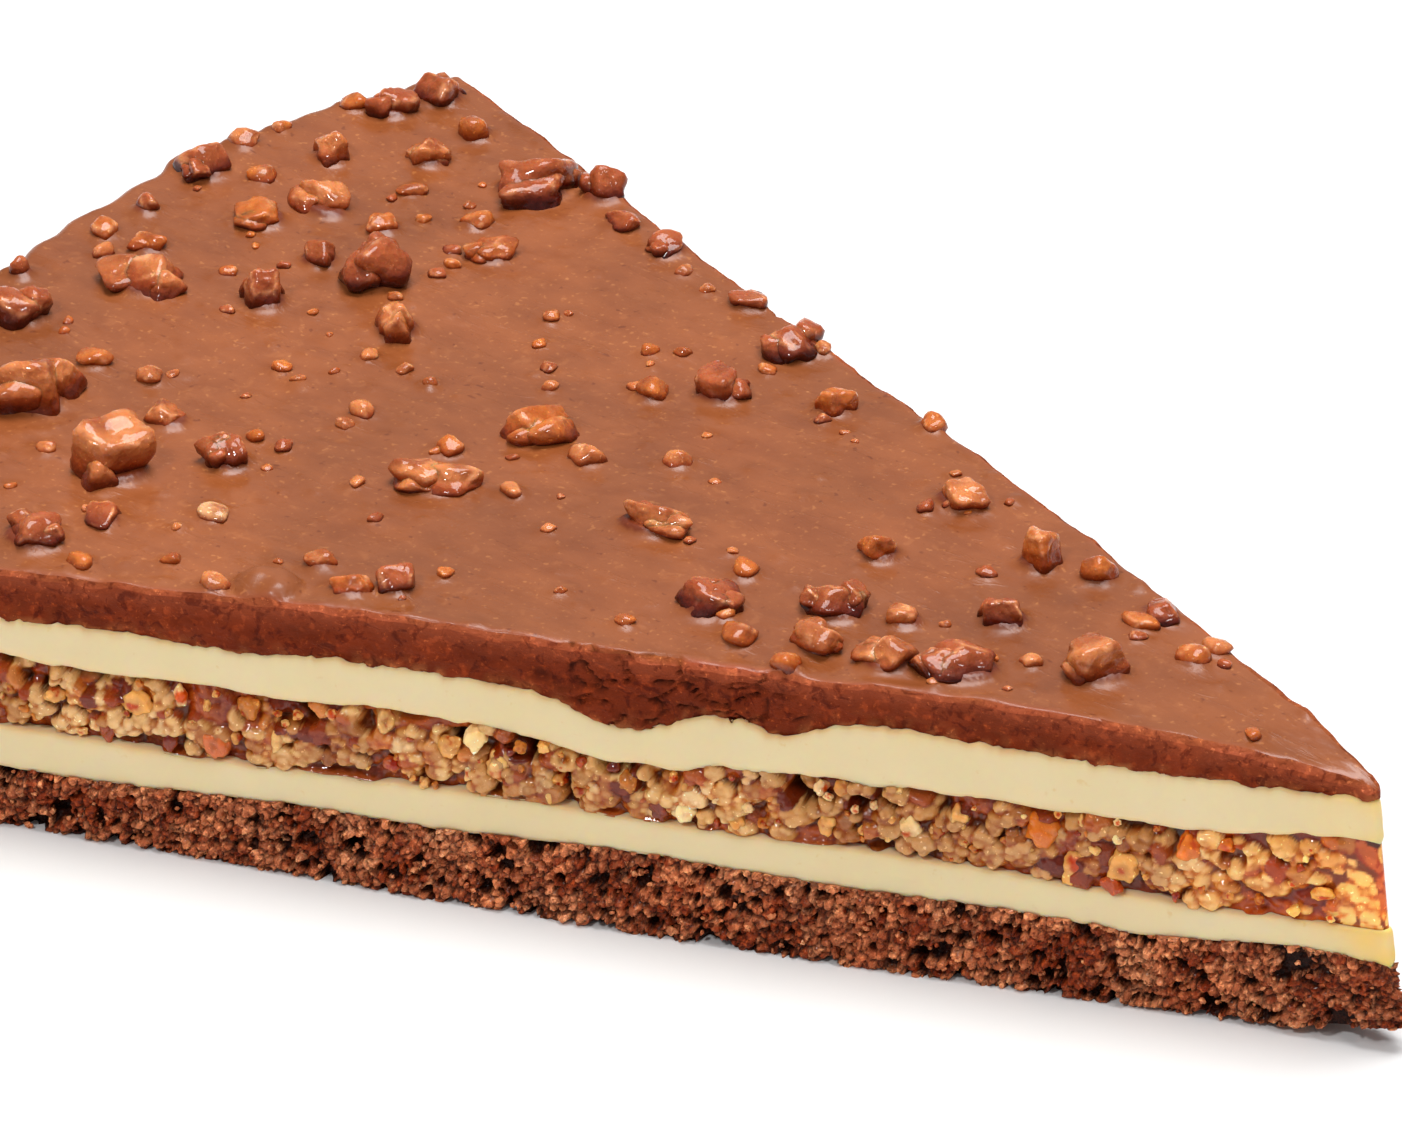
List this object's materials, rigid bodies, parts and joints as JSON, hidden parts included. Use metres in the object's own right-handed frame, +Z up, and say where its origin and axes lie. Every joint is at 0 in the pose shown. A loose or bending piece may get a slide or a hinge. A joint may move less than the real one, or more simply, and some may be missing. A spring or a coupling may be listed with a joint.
{
  "type": "slice of toffee tart",
  "caption": "Wedge-shaped slice of layered toffee tart: cocoa sponge, butter cream, chopped nut and caramel layer, cream, and milk chocolate set with toffee pieces.",
  "frame": {"origin": "centre of the slice's bounding box, on the surface that it stands on", "axes": "+Z up, +X towards the tip of the slice along its middle line, so that the two cuts face -Y and +Y and the rim faces -X"},
  "size_m": [0.1037, 0.0742, 0.0205],
  "materials": {
    "sponge": "open cocoa crumb, dry and rough",
    "cream": "pale yellow butter cream, smooth and slightly waxy",
    "nuts": "chopped nuts bound with glossy caramel",
    "chocolate": "milk chocolate, satin on top and matt where cut"
  },
  "bodies": {
    "root": {"sponge_base": "sponge", "lower_cream": "cream", "nut_layer": "nuts", "upper_cream": "cream", "chocolate_top": "chocolate"}
  },
  "joints": []
}
